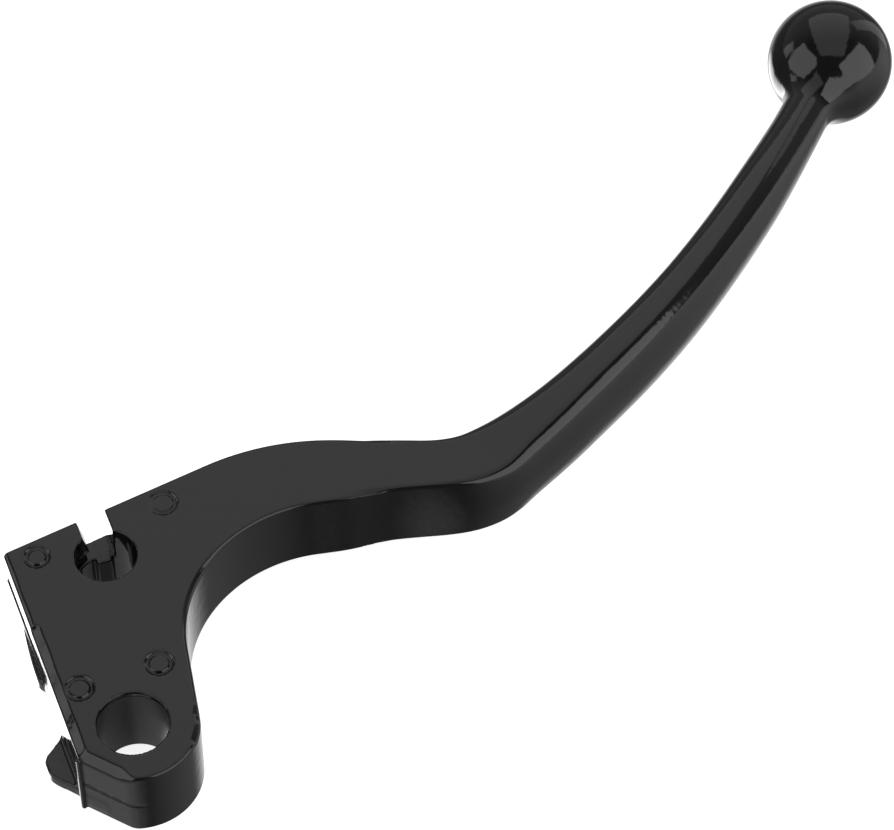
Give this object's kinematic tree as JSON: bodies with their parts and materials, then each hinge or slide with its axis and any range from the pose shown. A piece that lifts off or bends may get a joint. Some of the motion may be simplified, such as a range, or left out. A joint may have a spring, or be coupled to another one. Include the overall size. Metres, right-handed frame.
{
  "type": "motorcycle clutch lever",
  "caption": "Cast clutch lever with a flat slotted head, a dog-leg neck, a curved blade with rounded edges and a ball end, turning on a bush.",
  "frame": {"origin": "on the pivot axis, at half the thickness of the flat head", "axes": "+X from the pivot axis to the centre of the ball, +Z along the pivot axis out of the face with the ejector marks, +Y on the side of the cable seat"},
  "size_m": [0.1847, 0.0492, 0.0196],
  "materials": {
    "black_paint": "gloss black paint on die-cast aluminium",
    "bush_liner": "smooth self-lubricating black plastic"
  },
  "bodies": {
    "bush": {"pivot_bush": "bush_liner"},
    "lever": {"lever_casting": "black_paint"}
  },
  "joints": [
    {"name": "lever_pull", "type": "hinge", "parent": "bush", "child": "lever", "pos_m": [0, 0, 0], "axis": [0, 0, -1], "range_deg": [0, 25]}
  ]
}
